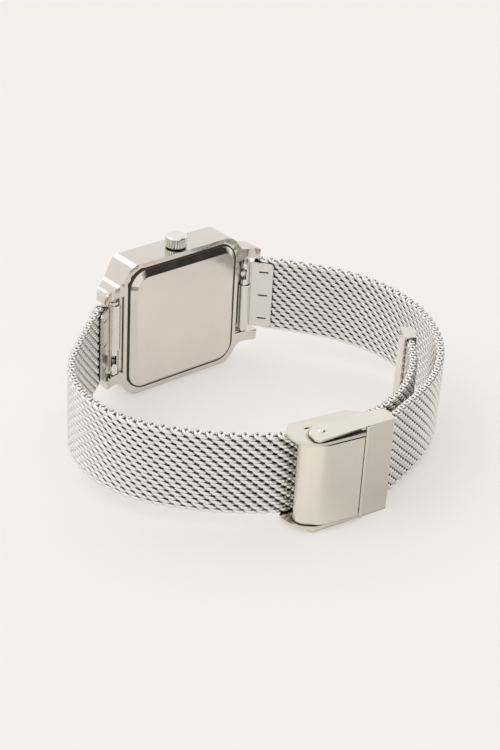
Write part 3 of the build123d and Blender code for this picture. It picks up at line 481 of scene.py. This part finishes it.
def metal(
    name, colour, roughness, grain_scale,
    grain=(1, 1, 1), bump=0.0, vary=0.06, spread=0.25, crevice_shade=None,
):
    """Metal with a fine grain: its scale along X, Y and Z sets the direction of the brushing."""
    material, tree, shader = node_tree(name)
    shader.inputs["Metallic"].default_value = 1.0
    where = tree.nodes.new("ShaderNodeTexCoord")
    stretch = tree.nodes.new("ShaderNodeMapping")
    stretch.inputs["Scale"].default_value = [grain_scale * g for g in grain]
    tree.links.new(where.outputs["Object"], stretch.inputs["Vector"])
    noise = tree.nodes.new("ShaderNodeTexNoise")
    noise.inputs["Scale"].default_value = 1.0
    noise.inputs["Detail"].default_value = GRAIN_DETAIL
    noise.inputs["Roughness"].default_value = GRAIN_ROUGHNESS
    tree.links.new(stretch.outputs["Vector"], noise.inputs["Vector"])
    rough = tree.nodes.new("ShaderNodeMapRange")
    rough.inputs["From Min"].default_value = GRAIN_LOW
    rough.inputs["From Max"].default_value = GRAIN_HIGH
    rough.inputs["To Min"].default_value = roughness * (1 - spread)
    rough.inputs["To Max"].default_value = roughness * (1 + spread)
    tree.links.new(noise.outputs["Fac"], rough.inputs["Value"])
    tree.links.new(rough.outputs["Result"], shader.inputs["Roughness"])
    tone = tree.nodes.new("ShaderNodeMix")
    tone.data_type = "RGBA"
    tone.inputs["A"].default_value = [c * (1 - vary) for c in colour] + [1]
    tone.inputs["B"].default_value = [min(1, c * (1 + vary)) for c in colour] + [1]
    tree.links.new(noise.outputs["Fac"], tone.inputs["Factor"])
    # Painted shade: the base colour darkens in crevices, where nearby geometry hems the surface in
    if crevice_shade:
        paint_crevice_shade(tree, shader, tone.outputs["Result"], **crevice_shade)
    else:
        tree.links.new(tone.outputs["Result"], shader.inputs["Base Color"])
    if bump:
        relief = tree.nodes.new("ShaderNodeBump")
        relief.inputs["Strength"].default_value = bump
        relief.inputs["Distance"].default_value = BUMP_DEPTH * MM
        tree.links.new(noise.outputs["Fac"], relief.inputs["Height"])
        tree.links.new(relief.outputs["Normal"], shader.inputs["Normal"])
    return material


def plain(name, colour, roughness, scale=400.0, vary=0.12):
    """Paint, plastic, rubber or board, with a fine mottling in its colour and gloss."""
    material, tree, shader = node_tree(name)
    where = tree.nodes.new("ShaderNodeTexCoord")
    noise = tree.nodes.new("ShaderNodeTexNoise")
    noise.inputs["Scale"].default_value = scale
    tree.links.new(where.outputs["Object"], noise.inputs["Vector"])
    tone = tree.nodes.new("ShaderNodeMix")
    tone.data_type = "RGBA"
    tone.inputs["A"].default_value = [c * (1 - vary) for c in colour] + [1]
    tone.inputs["B"].default_value = [min(1, c * (1 + vary)) for c in colour] + [1]
    tree.links.new(noise.outputs["Fac"], tone.inputs["Factor"])
    tree.links.new(tone.outputs["Result"], shader.inputs["Base Color"])
    rough = tree.nodes.new("ShaderNodeMapRange")
    rough.inputs["To Min"].default_value = roughness * (1 - GLOSS_SPREAD)
    rough.inputs["To Max"].default_value = min(1, roughness * (1 + GLOSS_SPREAD))
    tree.links.new(noise.outputs["Fac"], rough.inputs["Value"])
    tree.links.new(rough.outputs["Result"], shader.inputs["Roughness"])
    return material


def glass(name):
    """Clear mineral glass."""
    material, tree, shader = node_tree(name)
    shader.inputs["Transmission Weight"].default_value = 1.0
    shader.inputs["IOR"].default_value = GLASS_REFRACTION
    where = tree.nodes.new("ShaderNodeTexCoord")
    noise = tree.nodes.new("ShaderNodeTexNoise")
    noise.inputs["Scale"].default_value = GLASS_GRAIN_SCALE
    tree.links.new(where.outputs["Object"], noise.inputs["Vector"])
    rough = tree.nodes.new("ShaderNodeMapRange")
    rough.inputs["To Min"].default_value = 0.0
    rough.inputs["To Max"].default_value = GLASS_HAZE
    tree.links.new(noise.outputs["Fac"], rough.inputs["Value"])
    tree.links.new(rough.outputs["Result"], shader.inputs["Roughness"])
    return material


def dress(material, *names):
    """Gives CAD nodes their material."""
    for name in names:
        mesh = nodes[name].data
        mesh.materials.clear()
        mesh.materials.append(material)


def soften(width, *names):
    """Rounds the edges of CAD nodes by a width in millimetres."""
    for name in names:
        node = nodes[name]
        weld = node.modifiers.new("weld", "WELD")
        weld.merge_threshold = WELD_REACH * MM
        bevel = node.modifiers.new("soft_edge", "BEVEL")
        bevel.width = width * MM
        bevel.segments = EDGE_SEGMENTS
        bevel.limit_method = "ANGLE"
        bevel.angle_limit = radians(SHARP_ANGLE)
        bevel.miter_outer = "MITER_ARC"
        shade = node.modifiers.new("shade", "WEIGHTED_NORMAL")
        shade.weight = FLAT_FACE_WEIGHT


def stage_floor():
    """The pale floor, which touches the case's lower side and the clasp's lower edge."""
    case_low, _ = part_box("case_middle")
    clasp_low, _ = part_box("clasp_rivets")
    run = case_low.y - clasp_low.y
    slope = (clasp_low.z - case_low.z) / run
    middle = Vector((0, case_low.y, case_low.z))
    normal = Vector((0, slope, 1)).normalized()
    bpy.ops.mesh.primitive_plane_add(size=FLOOR_SIZE * MM, location=middle - normal * FLOOR_GAP * MM)
    floor = bpy.context.active_object
    floor.name = "floor"
    floor.rotation_mode = "QUATERNION"
    floor.rotation_quaternion = Vector((0, 0, 1)).rotation_difference(normal)
    material, tree, shader = node_tree("floor_paper")
    shader.inputs["Base Color"].default_value = FLOOR_COLOUR
    shader.inputs["Roughness"].default_value = FLOOR_ROUGHNESS
    light_path = tree.nodes.new("ShaderNodeLightPath")
    seen = tree.nodes.new("ShaderNodeMath")
    seen.operation = "MAXIMUM"
    tree.links.new(light_path.outputs["Is Camera Ray"], seen.inputs[0])
    tree.links.new(light_path.outputs["Is Glossy Ray"], seen.inputs[1])
    glow = tree.nodes.new("ShaderNodeMath")
    glow.operation = "MULTIPLY"
    glow.inputs[1].default_value = FLOOR_GLOW
    tree.links.new(seen.outputs["Value"], glow.inputs[0])
    backdrop = tree.nodes.new("ShaderNodeEmission")
    backdrop.inputs["Color"].default_value = GLOW_COLOUR
    where = tree.nodes.new("ShaderNodeNewGeometry")
    strength = tree.nodes.new("ShaderNodeMix")
    strength.inputs["B"].default_value = 1.0
    tree.links.new(light_path.outputs["Is Camera Ray"], strength.inputs["Factor"])
    dimmest = tree.nodes.new("ShaderNodeMath")
    dimmest.operation = "MINIMUM"
    tree.links.new(dimmest.outputs["Value"], strength.inputs["A"])
    for socket, (x, y, inner, outer, share) in enumerate(DIM_PATCHES):
        apart = tree.nodes.new("ShaderNodeVectorMath")
        apart.operation = "DISTANCE"
        apart.inputs[1].default_value = (x * MM, y * MM, clasp_low.z)
        tree.links.new(where.outputs["Position"], apart.inputs[0])
        fade = tree.nodes.new("ShaderNodeMapRange")
        fade.interpolation_type = "SMOOTHSTEP"
        fade.inputs["From Min"].default_value = inner * MM
        fade.inputs["From Max"].default_value = outer * MM
        fade.inputs["To Min"].default_value = share
        fade.inputs["To Max"].default_value = 1.0
        tree.links.new(apart.outputs["Value"], fade.inputs["Value"])
        tree.links.new(fade.outputs["Result"], dimmest.inputs[socket])
    tree.links.new(strength.outputs["Result"], backdrop.inputs["Strength"])
    both = tree.nodes.new("ShaderNodeMixShader")
    tree.links.new(glow.outputs["Value"], both.inputs["Fac"])
    tree.links.new(shader.outputs["BSDF"], both.inputs[1])
    tree.links.new(backdrop.outputs["Emission"], both.inputs[2])
    tree.links.new(both.outputs["Shader"], tree.nodes["Material Output"].inputs["Surface"])
    floor.data.materials.append(material)


def stage_light():
    """A bright room with a dark side and a window, which polished steel shows, and a soft lamp."""
    world = bpy.data.worlds.new("studio")
    bpy.context.scene.world = world
    world.use_nodes = True
    tree = world.node_tree
    background = tree.nodes["Background"]
    where = tree.nodes.new("ShaderNodeTexCoord")
    dark_side = tree.nodes.new("ShaderNodeVectorMath")
    dark_side.operation = "DOT_PRODUCT"
    dark_side.inputs[1].default_value = DARK_SIDE
    tree.links.new(where.outputs["Generated"], dark_side.inputs[0])
    ramp = tree.nodes.new("ShaderNodeValToRGB")
    ramp.color_ramp.elements[0].position = DARK_START
    ramp.color_ramp.elements[0].color = ROOM_COLOUR
    ramp.color_ramp.elements[1].position = DARK_END
    ramp.color_ramp.elements[1].color = DARK_COLOUR
    tree.links.new(dark_side.outputs["Value"], ramp.inputs["Fac"])
    window = tree.nodes.new("ShaderNodeVectorMath")
    window.operation = "DOT_PRODUCT"
    window.inputs[1].default_value = WINDOW_SIDE
    tree.links.new(where.outputs["Generated"], window.inputs[0])
    pane = tree.nodes.new("ShaderNodeMapRange")
    pane.interpolation_type = "SMOOTHSTEP"
    pane.inputs["From Min"].default_value = WINDOW_START
    pane.inputs["From Max"].default_value = WINDOW_END
    pane.inputs["To Max"].default_value = WINDOW_GLOW
    tree.links.new(window.outputs["Value"], pane.inputs["Value"])
    room = tree.nodes.new("ShaderNodeMix")
    room.data_type = "RGBA"
    room.blend_type = "ADD"
    room.inputs["B"].default_value = WINDOW_COLOUR
    tree.links.new(ramp.outputs["Color"], room.inputs["A"])
    tree.links.new(pane.outputs["Result"], room.inputs["Factor"])
    light_path = tree.nodes.new("ShaderNodeLightPath")
    white = tree.nodes.new("ShaderNodeMix")
    white.data_type = "RGBA"
    white.inputs["B"].default_value = SEEN_COLOUR
    tree.links.new(light_path.outputs["Is Camera Ray"], white.inputs["Factor"])
    tree.links.new(room.outputs["Result"], white.inputs["A"])
    tree.links.new(white.outputs["Result"], background.inputs["Color"])
    background.inputs["Strength"].default_value = ROOM_STRENGTH

    lamp = bpy.data.lights.new("key", "AREA")
    lamp.shape = "DISK"
    lamp.size = LAMP_SIZE * MM
    lamp.energy = LAMP_POWER
    key = bpy.data.objects.new("key", lamp)
    bpy.context.scene.collection.objects.link(key)
    key.location = LAMP_PLACE
    key.rotation_mode = "QUATERNION"
    key.rotation_quaternion = (LAMP_AIM - LAMP_PLACE).to_track_quat("-Z", "Y")


def photo_camera():
    """The camera at the photograph's place, with its focal length."""
    data = bpy.data.cameras.new("photo")
    data.sensor_width = SENSOR_WIDTH
    data.lens = FOCAL_PIXELS / max(PHOTO_SIZE) * SENSOR_WIDTH
    data.clip_start = NEAREST_SEEN
    data.clip_end = FARTHEST_SEEN
    camera = bpy.data.objects.new("photo", data)
    bpy.context.scene.collection.objects.link(camera)
    camera.location = CAMERA_PLACE
    look = CAMERA_FORWARD.to_track_quat("-Z", "Y").to_matrix()
    camera.rotation_mode = "QUATERNION"
    camera.rotation_quaternion = (look @ Matrix.Rotation(CAMERA_ROLL, 3, "Z")).to_quaternion()
    bpy.context.scene.camera = camera


# Steels of the case, the clasp and the band. The painted shade in a crevice has its reach in
# millimetres, how dark it gets, and the shares of open surroundings at which it is darkest and at which
# it is gone.
BRUSHED = dict(roughness=0.24, grain=(0.04, 1, 1), grain_scale=900, vary=0.02, spread=0.08)
case_steel = metal(
    "case_steel", colour=(0.74, 0.69, 0.64), roughness=0.07, grain_scale=250,
    crevice_shade=dict(reach=0.7, darkest=0.15),
)
back_steel = metal(
    "back_steel", colour=(0.79, 0.73, 0.67), roughness=0.13, grain_scale=200,
    crevice_shade=dict(reach=0.9, darkest=0.08, hemmed_in=0.45, free=0.82),
)
polished = metal(
    "polished_steel", colour=(0.82, 0.80, 0.77), roughness=0.10, grain_scale=500,
    crevice_shade=dict(reach=0.25, darkest=0.1),
)
crown_steel = metal(
    "crown_steel", colour=(0.86, 0.84, 0.80), roughness=0.08, grain_scale=500,
    crevice_shade=dict(reach=0.35, darkest=0.04, hemmed_in=0.5, free=0.95),
)
satin = metal(
    "satin_steel", colour=(0.82, 0.77, 0.69), **BRUSHED,
    crevice_shade=dict(reach=0.5, darkest=0.15, hemmed_in=0.3, free=0.8),
)
# Painted light: a lighter copy of the satin steel, standing in for the brighter light on the lock flap
# and the lever's turned edge
lit_flap_satin = metal(
    "lit_flap_satin", colour=(0.88, 0.83, 0.75), **BRUSHED,
    crevice_shade=dict(reach=0.5, darkest=0.15, hemmed_in=0.3, free=0.8),
)
# Painted shade: a darker copy of the satin steel, whose deeper crevice shade stands in for the lever's
# shadow on the slider
shaded_slider_satin = metal(
    "shaded_slider_satin", colour=(0.80, 0.75, 0.67), **BRUSHED,
    crevice_shade=dict(reach=0.7, darkest=0.1, hemmed_in=0.5, free=0.97),
)
wire = metal(
    "mesh_wire", colour=(0.90, 0.88, 0.85), roughness=0.24, grain_scale=900,
    crevice_shade=dict(reach=0.6, darkest=0.36, hemmed_in=0.3, free=0.9),
)
sheet = metal(
    "sheet_steel", colour=(0.80, 0.77, 0.73), roughness=0.22, grain_scale=700, bump=0.04,
    crevice_shade=dict(reach=0.4, darkest=0.15),
)
cap_steel = metal(
    "cap_steel", colour=(0.80, 0.76, 0.71), roughness=0.08, grain_scale=700,
    crevice_shade=dict(reach=0.4, darkest=0.3),
)

# Metals of the movement, and what isn't metal
brass = metal("movement_brass", colour=(0.72, 0.56, 0.30), roughness=0.25, grain_scale=600)
dark_steel = metal("movement_steel", colour=(0.50, 0.50, 0.51), roughness=0.25, grain_scale=600)
copper = metal(
    "copper_wire", colour=(0.70, 0.36, 0.18), roughness=0.35, grain=(1, 1, 20), grain_scale=2000,
    bump=0.6,
)
rubber = plain("seal_rubber", colour=(0.02, 0.02, 0.02), roughness=0.6)
# Painted shade: the dark ring round the case back stands in for the shadow line between the plate and
# the rim
back_shadow_paint = plain("back_shadow_ring", colour=(0.075, 0.062, 0.050), roughness=0.5)
holder = plain("holder_plastic", colour=(0.80, 0.79, 0.75), roughness=0.5)
board = plain("board", colour=(0.03, 0.16, 0.08), roughness=0.35)
dial_paint = plain("dial_paint", colour=(0.045, 0.045, 0.05), roughness=0.35)
crystal = glass("crystal_glass")

# What each CAD node is made of
dress(case_steel, "case_middle")
dress(back_steel, "case_back")
dress(crown_steel, "crown")
dress(polished, "clasp_rivets", "clasp_hook_pin", "spring_bar_left", "spring_bar_right")
dress(polished, "release_pin_left", "release_pin_right", "hour_markers", "hour_hand", "minute_hand")
dress(shaded_slider_satin, "clasp_slider")
dress(satin, "clasp_arm")
dress(lit_flap_satin, "lock_flap")
dress(sheet, "end_piece_left", "end_piece_right", "strap_hook")
dress(cap_steel, "tail_cap")
dress(brass, "main_plate", "train_bridge", "centre_wheel", "third_wheel", "fourth_wheel")
dress(brass, "minute_wheel", "hour_wheel")
dress(dark_steel, "stem", "clutch_wheel", "crown_tube", "battery_clip", "coil_core", "stator", "rotor")
dress(dark_steel, "battery", "quartz_can")
dress(copper, "coil")
dress(rubber, "case_back_gasket", "crystal_gasket", "crown_gasket")
dress(holder, "movement_holder")
dress(board, "circuit_board")
dress(dial_paint, "dial")
dress(crystal, "crystal")

# Soft edges
soften(CASE_EDGE, "case_middle", "case_back")
soften(CROWN_EDGE, "crown")
soften(SHEET_EDGE, "end_piece_left", "end_piece_right", "spring_bar_left", "spring_bar_right")
soften(LEVER_EDGE, "clasp_arm")
soften(CLASP_EDGE, "clasp_slider", "lock_flap", "release_pin_left", "release_pin_right")
soften(RIVET_EDGE, "clasp_rivets")

# Forms that scene.py adds: on the lever, round the case back, in the end cap and beside the spring bars
long_route, short_route, clasp_place, clasp_heading = band_routes()
lip = plate_lip(clasp_place, clasp_heading)
lip.data.materials.append(lit_flap_satin)
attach(lip, "clasp_arm")
# Painted shade: a dark ring round the case back, in place of the shadow line at the plate's edge
back_shadow = back_shadow_ring()
back_shadow.data.materials.append(back_shadow_paint)
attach(back_shadow, "case")
for crimp in cap_crimps(long_route):
    crimp.data.materials.append(cap_steel)
    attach(crimp, "strap_long")
for side, sign, strap in (("left", -1, "strap_long"), ("right", 1, "strap_short")):
    sheet_piece = window_sheet(side, sign)
    sheet_piece.data.materials.append(sheet)
    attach(sheet_piece, strap)
    ledge = case_ledge(side, sign)
    ledge.data.materials.append(case_steel)
    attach(ledge, "case")

# Band
for side, route, handed in (("long", long_route, 1), ("short", short_route, -1)):
    mesh_side = woven_band(f"mesh_{side}", route, handed)
    mesh_side.data.materials.append(wire)
    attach(mesh_side, f"strap_{side}")
    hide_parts(f"strap_{side}")

stage_floor()
stage_light()
photo_camera()
bpy.context.scene.view_settings.view_transform = "Standard"
